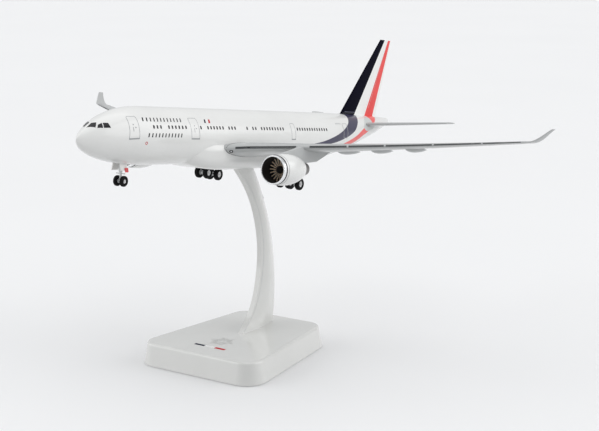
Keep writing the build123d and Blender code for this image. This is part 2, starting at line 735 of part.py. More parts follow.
def save_wheels(start, end, wheels):
    axle, hubs, tyres = wheels
    save(f"{start}_axle{end}", place(axle))
    save(f"{start}_hubs{end}", [place(hub) for hub in hubs])
    save(f"{start}_tyres{end}", [place(tyre) for tyre in tyres])


def main():
    wings = {name: wing(side) for name, side in SIDES.items()}
    legs = {name: main_leg(side, wings[name]) for name, side in SIDES.items()}
    build_stand()
    build_airframe(wings, legs)
    for name, side in SIDES.items():
        build_engine(name, side, wings[name])
        build_main_gear(name, side, wings[name], legs[name])
    save_wheels("nose", "", wheel_pair(NOSE_GEAR, NOSE_WHEEL_R, NOSE_WHEEL_W, NOSE_WHEEL_HALF_TRACK, NOSE_HUB_SHARE))
    axles = {"nose": NOSE_GEAR, **gear_axles()}
    for name, (x, y, z) in axles.items():
        spot = place(Vertex(x, y, z)).center()
        print(f"{name} axle at {spot.X:.3f} {spot.Y:.3f} {spot.Z:.3f}")
    spot = place(Vertex(FAN_X, ENGINE_Y, ENGINE_Z)).center()
    print(f"fan at {spot.X:.3f} {spot.Y:.3f} {spot.Z:.3f}")


main()
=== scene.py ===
import math

import bmesh
import bpy
from mathutils import Matrix, Vector
from mathutils.bvhtree import BVHTree


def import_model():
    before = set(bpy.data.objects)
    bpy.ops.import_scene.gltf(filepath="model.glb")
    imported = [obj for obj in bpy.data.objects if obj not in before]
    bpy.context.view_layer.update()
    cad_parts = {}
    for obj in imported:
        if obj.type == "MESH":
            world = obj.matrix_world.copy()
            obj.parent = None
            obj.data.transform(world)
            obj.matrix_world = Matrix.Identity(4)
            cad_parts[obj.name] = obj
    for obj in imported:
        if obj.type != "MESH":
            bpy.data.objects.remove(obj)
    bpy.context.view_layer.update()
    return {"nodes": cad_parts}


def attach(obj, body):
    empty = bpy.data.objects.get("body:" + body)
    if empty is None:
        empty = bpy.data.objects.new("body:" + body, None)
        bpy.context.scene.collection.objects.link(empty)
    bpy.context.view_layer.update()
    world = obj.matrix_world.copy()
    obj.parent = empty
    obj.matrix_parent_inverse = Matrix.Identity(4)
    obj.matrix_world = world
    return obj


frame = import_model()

# Looks of the desktop airliner model: paint, printed marks, glazing, engines, wheels and stand.
#
# Aircraft frame, in millimetres: x runs aft from the tip of the nose, y to starboard and z up from the
# centre line. air() turns it into the row frame, in metres, with the stand's nose-up pitch.

MM = 0.001

PITCH = math.radians(7.26)
PIVOT = (150.0, -14.0)          # aircraft x and z of the point that the pitch turns about
PIVOT_ROW = (20.85, 105.0)      # where that point is in the row frame

SIDES = {"port": -1, "starboard": 1}


def air(x, y, z):
    """A point of the aircraft frame, in the row frame."""
    along = x - PIVOT[0]
    up = z - PIVOT[1]
    row_x = PIVOT_ROW[0] + math.cos(PITCH) * along + math.sin(PITCH) * up
    row_z = PIVOT_ROW[1] - math.sin(PITCH) * along + math.cos(PITCH) * up
    return Vector((row_x, y, row_z)) * MM


# ---------------------------------------------------------------- shapes of the aircraft's skin

AFT = (air(1, 0, 0) - air(0, 0, 0)).normalized()

FUSE_R = 14.1
FUSE_LEN = 286.0
NOSE = (1.2, -1.8)              # x and z of the tip
TAIL_END = (12.2, 8.0, 1.9)     # at the end: height of the top and of the bottom, half width

# The nose's top, bottom and side: length and bluntness. The tail's: where it starts and how it curves.
NOSE_TOP = (41.4, 0.775)
NOSE_BOTTOM = (45, 0.51)
NOSE_SIDE = (42, 0.8)
TAIL_TOP = (205, 2.0)
TAIL_BOTTOM = (186, 1.45)
TAIL_SIDE = (196, 1.6)


def nose_curve(x, curve):
    """0 at the nose's tip, 1 where the barrel starts."""
    length, power = curve
    share = min(max((x - NOSE[0]) / length, 0.0), 1.0)
    return (1 - (1 - share) ** 2) ** power


def tail_curve(x, curve):
    """0 along the barrel, 1 at the tail's end."""
    start, power = curve
    return min(max((x - start) / (FUSE_LEN - start), 0.0), 1.0) ** power


def fuselage_ring(x):
    """Centre height, half height and half width of the fuselage at x."""
    tip_z = NOSE[1]
    end_top, end_bottom, end_half = TAIL_END
    top = tip_z + (FUSE_R - tip_z) * nose_curve(x, NOSE_TOP)
    top -= (FUSE_R - end_top) * tail_curve(x, TAIL_TOP)
    bottom = tip_z - (FUSE_R + tip_z) * nose_curve(x, NOSE_BOTTOM)
    bottom += (FUSE_R + end_bottom) * tail_curve(x, TAIL_BOTTOM)
    half = FUSE_R * nose_curve(x, NOSE_SIDE)
    half -= (FUSE_R - end_half) * tail_curve(x, TAIL_SIDE)
    return (top + bottom) / 2, (top - bottom) / 2, half


def fuselage_round(side):
    """Fuselage surface by x and by the angle up from the side, in degrees: 90 is the top."""
    def at(x, angle):
        middle, height, half = fuselage_ring(x)
        a = math.radians(angle)
        return air(x, side * half * math.cos(a), middle + height * math.sin(a))
    return at


def fuselage_side(side):
    """Fuselage surface by x and z."""
    def at(x, z):
        middle, height, half = fuselage_ring(x)
        share = min(max((z - middle) / height, -0.999), 0.999)
        return air(x, side * half * math.sqrt(1 - share**2), z)
    return at


ROOT_Y = 13.0
KINK_Y = 47.0
TIP_Y = 144.5
ROOT_LE = (95.6, -5.0)          # x and z of the root's leading edge
SWEEP = 0.608                   # rise of the leading edge's x with the distance out
DIHEDRAL = 0.083
FLEX = 0.00017                  # upward bend, per millimetre squared
GLOVE_Y = 24.0                  # the leading edge sweeps forward and down inside this distance
GLOVE_FORWARD = 0.25
GLOVE_DOWN = 0.05
TRAILING_X = (152.5, 154.0, 185.6)      # the trailing edge at the root, the kink and the tip
INCIDENCE = math.radians(2)
THICK = (0.125, 0.095)          # thickness to chord at root and tip
EDGE_T = 0.18                   # half thickness of every trailing edge


def wing_le(y):
    """x and z of the wing's leading edge, y out from the centre line."""
    out = y - ROOT_Y
    glove = max(GLOVE_Y - y, 0.0)
    x = ROOT_LE[0] + SWEEP * out - GLOVE_FORWARD * glove
    return x, ROOT_LE[1] + DIHEDRAL * out + FLEX * out * abs(out) - GLOVE_DOWN * glove


def wing_te(y):
    """x of the wing's trailing edge."""
    root, kink, tip = TRAILING_X
    if y <= KINK_Y:
        return root + (kink - root) * (y - ROOT_Y) / (KINK_Y - ROOT_Y)
    return kink + (tip - kink) * (y - KINK_Y) / (TIP_Y - KINK_Y)


def half_thickness(share, thick):
    """Half the thickness of the usual symmetric four-digit wing section, to a chord of 1."""
    poly = -0.1260 * share - 0.3516 * share**2 + 0.2843 * share**3 - 0.1015 * share**4
    return 5 * thick * (0.2969 * math.sqrt(share) + poly)


def wing_face(side, above):
    """Wing surface by the distance out y and the share of the chord: above is 1 on top, -1 beneath."""
    def at(y, share):
        share = min(max(share, 0.0), 1.0)
        x, z = wing_le(y)
        chord = wing_te(y) - x
        thick = THICK[0] + (THICK[1] - THICK[0]) * (y - ROOT_Y) / (TIP_Y - ROOT_Y)
        back = share * chord
        rise = above * (half_thickness(share, thick) * chord + EDGE_T * share)
        c = math.cos(INCIDENCE)
        s = math.sin(INCIDENCE)
        return air(x + back * c + rise * s, side * y, z - back * s + rise * c)
    return at


# Leading edge at root and tip, then x of the trailing edge at both
TAILPLANE = ((246.0, 8.0, 8.4), (274.8, 48.5, 12.4))
TAILPLANE_TE = (270.5, 286.2)
TAILPLANE_THICK = 0.085


def tailplane_face(side, above):
    """Tailplane surface, in the same way as the wing's."""
    def at(y, share):
        (x0, y0, z0), (x1, y1, z1) = TAILPLANE
        out = (y - y0) / (y1 - y0)
        x = x0 + (x1 - x0) * out
        chord = TAILPLANE_TE[0] + (TAILPLANE_TE[1] - TAILPLANE_TE[0]) * out - x
        share = min(max(share, 0.0), 1.0)
        rise = above * (half_thickness(share, TAILPLANE_THICK) * chord + EDGE_T * share)
        return air(x + share * chord, side * y, z0 + (z1 - z0) * out + rise)
    return at


# Two points of each edge, by x and z
FIN_LE = ((229.5, 13.9), (271.7, 60.6))
FIN_TE = ((272.1, 14.5), (284.4, 60.6))
FIN_THICK = 0.075


def on_line(line, z):
    """x at height z of the line through two points."""
    (x0, z0), (x1, z1) = line
    return x0 + (x1 - x0) * (z - z0) / (z1 - z0)


def fin_face(side):
    """Fin surface by z and the share of the chord."""
    def at(z, share):
        x = on_line(FIN_LE, z)
        chord = on_line(FIN_TE, z) - x
        share = min(max(share, 0.0), 1.0)
        half = half_thickness(share, FIN_THICK) * chord + EDGE_T * share
        return air(x + share * chord, side * half, z)
    return at


BASE_TOP_Z = 11.0


def base_top(x, y):
    """About the height of the base's top, in the row frame: the ray down past it finds the surface."""
    return Vector((x, y, BASE_TOP_Z)) * MM


# ---------------------------------------------------------------- finding the real surface

class Skin:
    """A surface given by a formula of two numbers, corrected to the CAD surface that lies there.

    outward is roughly the way that it faces, and reach is how far off the CAD surface may lie, in mm.
    """

    STEP = 0.02

    def __init__(self, formula, nodes, outward, reach=3.0):
        self.formula = formula
        self.outward = outward
        self.reach = reach * MM
        self.trees = []
        for name in nodes:
            mesh = frame["nodes"][name].data
            corners = [v.co.copy() for v in mesh.vertices]
            faces = [tuple(p.vertices) for p in mesh.polygons]
            self.trees.append(BVHTree.FromPolygons(corners, faces))

    def at(self, u, v):
        """(point, outward normal) of the surface."""
        p = self.formula(u, v)
        across = self.formula(u + self.STEP, v) - self.formula(u - self.STEP, v)
        along = self.formula(u, v + self.STEP) - self.formula(u, v - self.STEP)
        normal = across.cross(along).normalized()
        if normal.dot(self.outward) < 0:
            normal.negate()
        best = None
        for tree in self.trees:
            hit, _, _, distance = tree.ray_cast(p + normal * self.reach, -normal, 2 * self.reach)
            if hit is not None and (best is None or distance < best[0]):
                best = (distance, hit)
        return (best[1] if best else p), normal


def between(a, b, share):
    """The point that share of the way from a to b."""
    return tuple(p + (q - p) * share for p, q in zip(a, b))


def smooth_line(points, count):
    """count points of a smooth curve through the given ones, evenly shared between them."""
    ends = [between(points[1], points[0], 2.0), *points, between(points[-2], points[-1], 2.0)]
    line = []
    for k in range(count):
        place = k / (count - 1) * (len(points) - 1)
        i = min(int(place), len(points) - 2)
        t = place - i
        spot = []
        for a, b, c, d in zip(*ends[i:i + 4]):
            bend = (2 * a - 5 * b + 4 * c - d) * t**2 + (3 * b - a - 3 * c + d) * t**3
            spot.append(0.5 * (2 * b + (c - a) * t + bend))
        line.append(tuple(spot))
    return line


def straight_line(points, step=1.0):
    """Points no more than about step apart on straight lines through the given ones."""
    line = [points[0]]
    for a, b in zip(points, points[1:]):
        parts = max(1, math.ceil(math.dist(a, b) / step))
        line += [between(a, b, (k + 1) / parts) for k in range(parts)]
    return line


def rounded(corners, radius, arc=4):
    """Closed outline of a polygon with round corners."""
    line = []
    count = len(corners)
    for k, corner in enumerate(corners):
        before = corners[k - 1]
        after = corners[(k + 1) % count]
        a = between(corner, before, min(0.49, radius / math.dist(corner, before)))
        b = between(corner, after, min(0.49, radius / math.dist(corner, after)))
        for i in range(arc + 1):
            t = i / arc
            line.append(between(between(a, corner, t), between(corner, b, t), t))
    return line


def outline_of(corners, radius):
    """Closed round-cornered line with points along its straight sides too."""
    ring = rounded(corners, radius)
    return straight_line([*ring, ring[0]], 1.2)[:-1]


def upright(x, z, wide, high, lean=0.0):
    """Corners of a mark centred at x, z; lean moves its top aft."""
    a, b = wide / 2, high / 2
    return [(x - a - lean, z - b), (x + a - lean, z - b), (x + a + lean, z + b), (x - a + lean, z + b)]


def circle(x, z, radius, count):
    """Closed ring of points about x, z."""
    turns = [2 * math.pi * k / count for k in range(count)]
    return [(x + radius * math.cos(a), z + radius * math.sin(a)) for a in turns]


# ---------------------------------------------------------------- building pieces

LIFT = 0.05 * MM                # height of printed marks over the surface
SINK = 0.04 * MM                # depth that they reach into it
OVER = 1.9                      # lift, in units of LIFT, of marks that cover other marks


class Piece:
    """Gathers the corners and faces of one visible piece, made of closed parts."""

    def __init__(self):
        self.corners = []
        self.faces = []

    def add(self, point):
        """Keep a corner and give its number."""
        self.corners.append(point)
        return len(self.corners) - 1

    def slab(self, rows, lift=LIFT, sink=SINK, loop=False):
        """A thin plate that follows a grid of (point, normal)."""
        top = [[self.add(p + n * lift) for p, n in row] for row in rows]
        low = [[self.add(p - n * sink) for p, n in row] for row in rows]
        count = len(rows)
        last = count if loop else count - 1
        wide = len(rows[0])
        for i in range(last):
            j = (i + 1) % count
            for k in range(wide - 1):
                self.faces.append((top[i][k], top[j][k], top[j][k + 1], top[i][k + 1]))
                self.faces.append((low[i][k + 1], low[j][k + 1], low[j][k], low[i][k]))
            self.faces.append((top[j][0], top[i][0], low[i][0], low[j][0]))
            self.faces.append((top[i][-1], top[j][-1], low[j][-1], low[i][-1]))
        if not loop:
            for row, back in ((0, 1), (-1, 0)):
                for k in range(wide - 1):
                    a = (top[row][k], top[row][k + 1], low[row][k + 1], low[row][k])
                    self.faces.append(a if back else a[::-1])

    def patch(self, skin, outline, lift=LIFT, sink=SINK):
        """A thin plate inside a closed outline, star-shaped about its middle."""
        middle = tuple(sum(c) / len(outline) for c in zip(*outline))
        count = len(outline)
        levels = []
        for way in (lift, -sink):
            p, n = skin.at(*middle)
            rings = [[self.add(p + n * way)]]
            for share in (0.5, 1.0):
                spots = [skin.at(*between(middle, q, share)) for q in outline]
                rings.append([self.add(p + n * way) for p, n in spots])
            levels.append(rings)
        for way, (tip, inner, outer) in zip((1, -1), levels):
            for k in range(count):
                j = (k + 1) % count
                self.faces.append((tip[0], inner[k], inner[j])[::way])
                self.faces.append((inner[k], outer[k], outer[j], inner[j])[::way])
        for k in range(count):
            j = (k + 1) % count
            self.faces.append((levels[0][2][k], levels[1][2][k], levels[1][2][j], levels[0][2][j]))

    def ribbon(self, skin, left, right, across=5, lift=LIFT):
        """A thin plate between two lines with the same number of points."""
        rows = []
        for a, b in zip(left, right):
            rows.append([skin.at(*between(a, b, k / (across - 1))) for k in range(across)])
        self.slab(rows, lift)

    def stroke(self, skin, line, width, lift=LIFT, loop=False):
        """A line of that width, in millimetres, along the surface."""
        spots = [skin.at(*q) for q in line]
        count = len(spots)
        rows = []
        for k, (p, n) in enumerate(spots):
            before = spots[k - 1][0] if loop or k else p
            after = spots[(k + 1) % count][0] if loop or k < count - 1 else p
            side = n.cross(after - before).normalized() * (width * MM / 2)
            rows.append([(p - side, n), (p + side, n)])
        self.slab(rows, lift, loop=loop)

    def lathe(self, outline, centre, axis, start, steps=72):
        """A closed outline of (distance along axis, radius) turned about the axis through centre."""
        side = axis.cross(start).normalized()
        up = side.cross(axis).normalized()
        rings = []
        for along, radius in outline:
            if radius == 0:
                rings.append([self.add(centre + axis * (along * MM))] * steps)
                continue
            ring = []
            for k in range(steps):
                a = 2 * math.pi * k / steps
                out = (side * math.cos(a) + up * math.sin(a)) * radius
                ring.append(self.add(centre + (axis * along + out) * MM))
            rings.append(ring)
        count = len(rings)
        for i in range(count):
            here, there = rings[i], rings[(i + 1) % count]
            for k in range(steps):
                j = (k + 1) % steps
                face = list(dict.fromkeys((here[k], there[k], there[j], here[j])))
                if len(face) > 2:
                    self.faces.append(tuple(face))

    def build(self, name, material, slot, body="aircraft", sharp=35):
        """Make the piece an object that rides on a body; edges over sharp degrees stay crisp."""
        mesh = bpy.data.meshes.new(name)
        mesh.from_pydata(self.corners, [], self.faces)
        work = bmesh.new()
        work.from_mesh(mesh)
        bmesh.ops.recalc_face_normals(work, faces=work.faces)
        work.to_mesh(mesh)
        work.free()
        mesh.shade_smooth()
        mesh.set_sharp_from_angle(angle=math.radians(sharp))
        mesh.materials.append(material)
        piece = bpy.data.objects.new(name, mesh)
        bpy.context.scene.collection.objects.link(piece)
        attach(piece, body)


# ---------------------------------------------------------------- materials

class Graph:
    """A material's nodes, with short ways to add them."""

    def __init__(self, name):
        self.material = bpy.data.materials.new(name)
        self.material.use_nodes = True
        self.tree = self.material.node_tree
        self.surface = self.tree.nodes["Principled BSDF"]
        self.where = self.tree.nodes.new("ShaderNodeTexCoord").outputs["Object"]

    def node(self, kind, **settings):
        made = self.tree.nodes.new(kind)
        for key, value in settings.items():
            setattr(made, key, value)
        return made

    def distance(self, way):
        """How far along a direction each point lies, in metres."""
        dot = self.node("ShaderNodeVectorMath", operation="DOT_PRODUCT")
        self.link(self.where, dot.inputs[0])
        dot.inputs[1].default_value = way
        return dot.outputs["Value"]

    def link(self, source, target):
        self.tree.links.new(source, target)

    def noise(self, size, detail=3.0, stretch=None):
        """Cloudy noise whose features are about size, in millimetres."""
        texture = self.node("ShaderNodeTexNoise")
        texture.inputs["Scale"].default_value = 1 / (size * MM)
        texture.inputs["Detail"].default_value = detail
        place = self.where
        if stretch:
            mapping = self.node("ShaderNodeMapping")
            mapping.inputs["Scale"].default_value = stretch
            self.link(place, mapping.inputs["Vector"])
            place = mapping.outputs["Vector"]
        self.link(place, texture.inputs["Vector"])
        return texture.outputs["Fac"]

    def ramp(self, source, low, high, start=0.3, end=0.7):
        """A colour between low and high."""
        made = self.node("ShaderNodeValToRGB")
        made.color_ramp.elements[0].position = start
        made.color_ramp.elements[0].color = (*low, 1)
        made.color_ramp.elements[1].position = end
        made.color_ramp.elements[1].color = (*high, 1)
        self.link(source, made.inputs["Fac"])
        return made.outputs["Color"]

    def mix(self, mask, first, second):
        """first where mask is 0, second where it is 1."""
        made = self.node("ShaderNodeMix", data_type="RGBA")
        self.link(mask, made.inputs["Factor"])
        self.link(first, made.inputs["A"])
        self.link(second, made.inputs["B"])
        return made.outputs["Result"]

    def beyond(self, point, normal):
        """1 on the side of the plane through point that normal faces."""
        test = self.node("ShaderNodeMath", operation="GREATER_THAN")
        self.link(self.distance(normal), test.inputs[0])
        test.inputs[1].default_value = Vector(point).dot(Vector(normal))
        return test.outputs["Value"]


    def along(self, way, start, end):
        """0 before the point start and 1 past the point end, going that way."""
        span = self.node("ShaderNodeMapRange")
        self.link(self.distance(way), span.inputs["Value"])
        span.inputs["From Min"].default_value = start.dot(way)
        span.inputs["From Max"].default_value = end.dot(way)
        return span.outputs["Result"]


def shade(colour, share):
    """The colour times share, no brighter than 1."""
    return tuple(min(1.0, c * share) for c in colour)


SPREAD = 0.05                   # how much roughness varies to either side
RELIEF_DEPTH = 0.02 * MM
COAT_ROUGHNESS = 0.06


def finish(name, colour, roughness, metallic=0.0, coat=0.0, mottle=0.03, cloud=14.0, grain=0.5, relief=0.12,
           stretch=None, paint=None, specular=0.5):
    """A procedural finish: cloudy colour, a roughness that varies and a fine relief.

    mottle is how much the colour varies; cloud and grain are the sizes of its clouds and of the relief, in
    millimetres; stretch scales both along each axis; paint(graph, base) may lay bands over the colour.
    """
    graph = Graph(name)
    surface = graph.surface
    cloudy = graph.noise(cloud, 4.0, stretch)
    base = graph.ramp(cloudy, shade(colour, 1 - mottle), shade(colour, 1 + mottle))
    if paint:
        base = paint(graph, base)
    graph.link(base, surface.inputs["Base Color"])
    fine = graph.noise(grain, 2.0, stretch)
    span = graph.node("ShaderNodeMapRange")
    graph.link(fine, span.inputs["Value"])
    span.inputs["To Min"].default_value = roughness - SPREAD
    span.inputs["To Max"].default_value = roughness + SPREAD
    graph.link(span.outputs["Result"], surface.inputs["Roughness"])
    bump = graph.node("ShaderNodeBump")
    bump.inputs["Strength"].default_value = relief
    bump.inputs["Distance"].default_value = RELIEF_DEPTH
    graph.link(fine, bump.inputs["Height"])
    graph.link(bump.outputs["Normal"], surface.inputs["Normal"])
    surface.inputs["Metallic"].default_value = metallic
    surface.inputs["Coat Weight"].default_value = coat
    surface.inputs["Coat Roughness"].default_value = COAT_ROUGHNESS
    surface.inputs["Specular IOR Level"].default_value = specular
    return graph.material


WHITE = (0.82, 0.82, 0.805)
GREY = (0.46, 0.47, 0.468)
NAVY = (0.0015, 0.0015, 0.009)
RED = (0.90, 0.13, 0.125)
SOFT_GREY = (0.62, 0.64, 0.63)
INK = (0.02, 0.02, 0.024)

# Where the fin's colours change, each a line through two points by x and z
NAVY_EDGE = ((244.5, 15.2), (276.4, 60.6))
RED_EDGES = (((257.0, 14.0), (280.9, 60.7)), ((268.0, 14.4), (284.0, 60.8)))
FIN_FOOT = 14.4                 # height of the dark line along the fin's foot


def fin_paint(graph, white):
    """Navy ahead, white, a red band, then white again."""
    def aft_of(line):
        a = air(line[0][0], 0, line[0][1])
        b = air(line[1][0], 0, line[1][1])
        way = b - a
        return graph.beyond(a, (way.z, 0.0, -way.x))

    cloudy = graph.noise(9.0)
    navy = graph.ramp(cloudy, shade(NAVY, 0.85), shade(NAVY, 1.2))
    red = graph.ramp(cloudy, shade(RED, 0.95), shade(RED, 1.05))
    made = graph.mix(aft_of(NAVY_EDGE), navy, white)
    made = graph.mix(aft_of(RED_EDGES[0]), made, red)
    return graph.mix(aft_of(RED_EDGES[1]), made, white)


# The black behind the bronze is painted shade: it stands in for the dark gaps between the blades deep in the
# intake
BRONZE_TO_SHADE_X = (98.62, 98.84)       # the blades' bronze fades to black between these


def blade_bronze_and_painted_shade(graph, bronze):
    """Bronze on the blades' front edges; behind them black, painted shade for the dark gaps between the
    blades.
    """
    black = graph.ramp(graph.noise(1.0), (0.006, 0.006, 0.006), (0.016, 0.015, 0.014))
    start, end = (air(x, 0, 0) for x in BRONZE_TO_SHADE_X)
    return graph.mix(graph.along(AFT, start, end), bronze, black)


# The finish of each material slot
MATERIALS = {
    "fuselage": finish("gloss_white_paint", WHITE, 0.30, coat=0.5, cloud=30),
    "fin": finish("fin_paint", shade(WHITE, 1.16), 0.5, coat=0.0, paint=fin_paint, specular=0.03),
    "wing": finish("wing_grey_paint", GREY, 0.34, coat=0.35, cloud=18, mottle=0.05),
    "tailplane": finish("tail_grey_paint", shade(GREY, 0.92), 0.34, coat=0.3, mottle=0.05),
    "cowl": finish("cowl_white_paint", shade(WHITE, 1.02), 0.26, coat=0.6, cloud=9),
    "lip": finish("bright_metal", (0.80, 0.81, 0.82), 0.18, metallic=1.0, mottle=0.06, cloud=1.5, grain=0.3),
    "fan": finish("bronze_blades_and_painted_shade", (0.86, 0.68, 0.50), 0.4, metallic=0.1, mottle=0.12, cloud=1.0, grain=0.2,
                  stretch=(6, 1, 1), paint=blade_bronze_and_painted_shade),
    "core": finish("black_core", (0.012, 0.012, 0.013), 0.5, mottle=0.2, cloud=3),
    "nozzle": finish("burnt_metal", (0.20, 0.19, 0.185), 0.36, metallic=0.85, mottle=0.16, cloud=2.5),
    "gear": finish("gear_silver_paint", (0.62, 0.63, 0.63), 0.34, metallic=0.35, mottle=0.07, cloud=1.6),
    "gear_door": finish("door_white", (0.80, 0.785, 0.765), 0.36, coat=0.3, cloud=4),
    "tag": finish("red_tag", (0.62, 0.012, 0.02), 0.38, coat=0.3, mottle=0.08, cloud=1.2),
    "axle": finish("axle_steel", (0.5, 0.5, 0.51), 0.3, metallic=1.0, mottle=0.08, cloud=1.0),
    "hub": finish("hub_silver", (0.90, 0.90, 0.90), 0.3, metallic=0.1, mottle=0.04, cloud=1.0, coat=0.3),
    "tyre": finish("tyre_rubber", (0.006, 0.006, 0.0065), 0.7, mottle=0.25, cloud=1.2, grain=0.15, relief=0.5,
                   specular=0.12),
    "stand": finish("stand_moulding", (0.70, 0.70, 0.68), 0.16, coat=0.9, cloud=24, mottle=0.02, grain=0.8),
    "stand_plate": finish("base_plate", (0.60, 0.60, 0.585), 0.5, cloud=12, grain=0.3, relief=0.3),
    "pad": finish("foam_pad", (0.05, 0.05, 0.052), 0.9, cloud=3, mottle=0.2, grain=0.4, relief=0.8),
    "steel": finish("plain_steel", (0.55, 0.55, 0.56), 0.34, metallic=1.0, cloud=5, mottle=0.08,
                    stretch=(1, 1, 8)),
}

# Finishes of the printed and painted marks
INK_PRINT = finish("printed_ink", INK, 0.45, mottle=0.15, cloud=2, specular=0.2)
GREY_PRINT = finish("printed_grey", (0.33, 0.34, 0.35), 0.4, mottle=0.08, cloud=2)
SEAM_PRINT = finish("printed_dark_grey", (0.12, 0.125, 0.13), 0.4, mottle=0.08, cloud=2, specular=0.3)
PALE_PRINT = finish("printed_pale_grey", (0.52, 0.53, 0.53), 0.4, mottle=0.06, cloud=2)
EMBLEM_PRINT = finish("printed_emblem", (0.50, 0.50, 0.485), 0.34, mottle=0.05, cloud=3, coat=0.3)
NAVY_PAINT = finish("navy_paint", (0.035, 0.032, 0.075), 0.3, coat=0.15, mottle=0.12, cloud=12, specular=0.3)
RED_PAINT = finish("red_paint", RED, 0.34, coat=0.1, mottle=0.04, cloud=10, specular=0.25)
BLUE_PRINT = finish("printed_blue", (0.004, 0.006, 0.03), 0.45, mottle=0.12, cloud=2, specular=0.1)
RED_PRINT = finish("printed_red", (0.52, 0.008, 0.016), 0.45, mottle=0.1, cloud=2, specular=0.1)
WHITE_PRINT = finish("printed_white", (0.86, 0.86, 0.85), 0.32, mottle=0.02, cloud=3)
SOFT_LINE = finish("printed_blue_grey", (0.16, 0.16, 0.22), 0.4, mottle=0.08, cloud=2, specular=0.2)
SEAL_PRINT = finish("seal_plate_grey", SOFT_GREY, 0.36, coat=0.3, mottle=0.05, cloud=3)
GLAZING = finish("dark_glazing", (0.012, 0.012, 0.015), 0.16, mottle=0.3, cloud=2.5, relief=0.04,
                 specular=0.3)
# Painted shade: the near-black finish of the strip along the wing's leading edge
SLAT_PAINTED_SHADE = finish("leading_edge_painted_shade", (0.035, 0.038, 0.04), 0.34, mottle=0.1, cloud=6, specular=0.25)
LENS = finish("lamp_lens", (0.85, 0.87, 0.9), 0.08, coat=1.0, mottle=0.04, cloud=0.8)


def dress_cad_nodes():
    """Every CAD node gets the finish of its material slot."""
    for node in frame["nodes"].values():
        for holder in node.material_slots:
            name = holder.material.name.split(".")[0]
            if name in MATERIALS:
                holder.material = MATERIALS[name]


dress_cad_nodes()


# ---------------------------------------------------------------- fuselage marks

OUT = {"port": Vector((0, -1, 0)), "starboard": Vector((0, 1, 0))}
UP = Vector((0, 0, 1))
HALVES = ("fuselage_port_half", "fuselage_starboard_half")

side_skin = {n: Skin(fuselage_side(s), [f"fuselage_{n}_half"], OUT[n]) for n, s in SIDES.items()}
round_skin = {n: Skin(fuselage_round(s), HALVES, OUT[n] + 0.3 * UP) for n, s in SIDES.items()}

WINDOW_Z = 5.1
WINDOW_SIZE = (1.1, 1.65)
WINDOW_CORNER = 0.45
# Each run of windows: x of its first and last, and how many
WINDOW_ROWS = ((39.9, 45.0, 3), (51.1, 64.3, 6), (76.3, 76.3, 1), (82.1, 94.7, 6), (99.9, 105.1, 3),
               (115.8, 115.8, 1), (121.2, 123.7, 2), (129.1, 149.6, 9), (163.8, 194.4, 13))


def windows(name):
    piece = Piece()
    for start, end, count in WINDOW_ROWS:
        for k in range(count):
            x = start + (end - start) * k / max(1, count - 1)
            pane = rounded(upright(x, WINDOW_Z, *WINDOW_SIZE), WINDOW_CORNER)
            piece.patch(side_skin[name], pane, lift=LIFT * 1.4)
    piece.build(f"cabin_windows_{name}", GLAZING, "fuselage")


# Door corners: lower front, lower rear, upper rear, upper front.
DOORS = {
    "front_door": ((24.2, -0.8), (30.05, -0.4), (30.6, 9.6), (25.5, 9.4)),
    "second_door": ((68.2, -0.4), (74.6, -0.4), (74.6, 9.5), (68.2, 9.5)),
    "wing_exit": ((157.6, -0.5), (161.4, -0.5), (161.4, 8.0), (157.6, 8.0)),
}
AFT_DOOR = ((214.2, 0.3), (219.3, 0.3), (219.3, 8.6), (214.2, 8.6))
DOOR_CORNER = 0.9
DOOR_LINE = 0.22
SILL_LINE = 0.6
PORTHOLE = 0.6


def door_fittings(skin, corners):
    """A door's porthole, flush handle and the line below them."""
    piece = Piece()
    middle = (corners[0][0] + corners[2][0]) / 2
    for x, z in ((middle, 5.9), (middle + 1.0, 4.6)):
        piece.patch(skin, rounded(upright(x, z, PORTHOLE, PORTHOLE), PORTHOLE / 2))
    piece.stroke(skin, straight_line([(middle - 0.4, 4.7), (middle - 0.5, 2.8)]), 0.3)
    return piece


def doors(name):
    skin = side_skin[name]
    for label, corners in DOORS.items():
        piece = Piece()
        piece.stroke(skin, outline_of(corners, DOOR_CORNER), DOOR_LINE, loop=True)
        piece.build(f"{label}_outline_{name}", GREY_PRINT, "fuselage")
        sill = Piece()
        a, b = corners[0], corners[1]
        sill.stroke(skin, straight_line([(a[0] - 0.1, a[1]), (b[0] + 0.1, b[1])]), SILL_LINE, lift=LIFT * 1.3)
        sill.build(f"{label}_sill_{name}", GREY_PRINT, "fuselage")
        if label != "wing_exit":
            door_fittings(skin, corners).build(f"{label}_fittings_{name}", GREY_PRINT, "fuselage")
    aft = Piece()
    aft.stroke(skin, outline_of(AFT_DOOR, 0.8), 0.25, lift=LIFT * 2.4, loop=True)
    aft.build(f"aft_door_outline_{name}", PALE_PRINT, "fuselage")


# Rows of plain ticks: x of the first and last, how many, z and height
TICK_ROWS = ((34.2, 61.8, 12, 8.4, 1.7), (36.0, 60.2, 11, 1.2, 1.9))
# The small flash aft of the second door, stripe by stripe: x, width and finish
FLASH_Z = 8.2
FLASH_HIGH = 1.7
FLASH = (("blue", 81.3, 1.1, BLUE_PRINT), ("white", 83.0, 1.7, WHITE_PRINT), ("red", 84.8, 1.3, RED_PRINT))
SOCKET = (34.8, -2.6)           # x and z of the small red ring
SOCKET_R = 0.6


